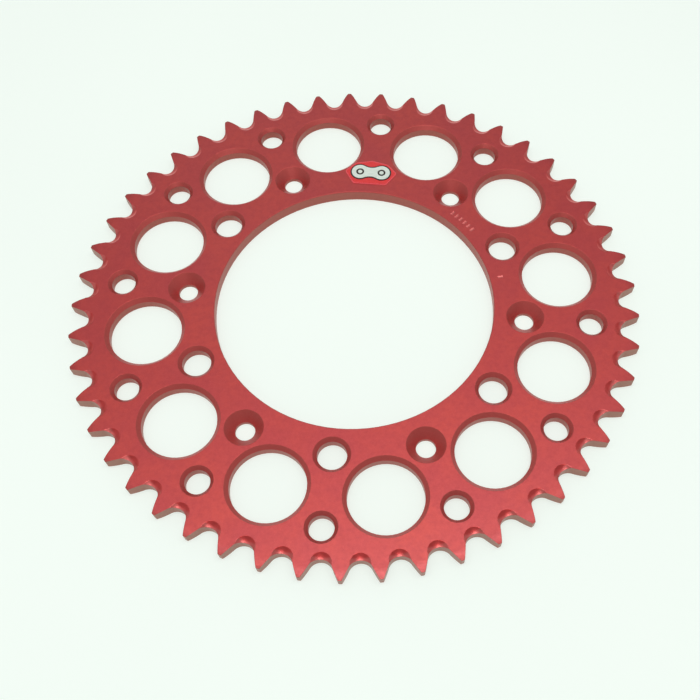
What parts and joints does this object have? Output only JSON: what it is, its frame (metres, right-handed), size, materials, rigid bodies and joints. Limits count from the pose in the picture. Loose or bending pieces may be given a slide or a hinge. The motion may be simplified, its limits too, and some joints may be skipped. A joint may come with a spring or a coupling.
{
  "type": "motorcycle rear sprocket",
  "caption": "Flat toothed chain sprocket with a large hub bore, countersunk bolt holes on a circle, round lightening holes and a small decal.",
  "frame": {"origin": "centre of the hub bore on the hub-side face, which is also the centre of the bolt circle", "axes": "+Z along the wheel's axis, away from the hub, towards the countersunk outer face; +X through the centre of the first large hole"},
  "size_m": [0.2539, 0.2538, 0.0062],
  "materials": {
    "anodised_aluminium": "bead-blasted satin, red anodised",
    "decal_film": "gloss red vinyl film",
    "decal_keyline": "dark vinyl layer",
    "decal_foil": "silver metallised foil"
  },
  "bodies": {
    "root": {"sprocket_plate": "anodised_aluminium", "decal_film": "decal_film", "decal_keyline": "decal_keyline", "decal_emblem": "decal_foil"}
  },
  "joints": []
}
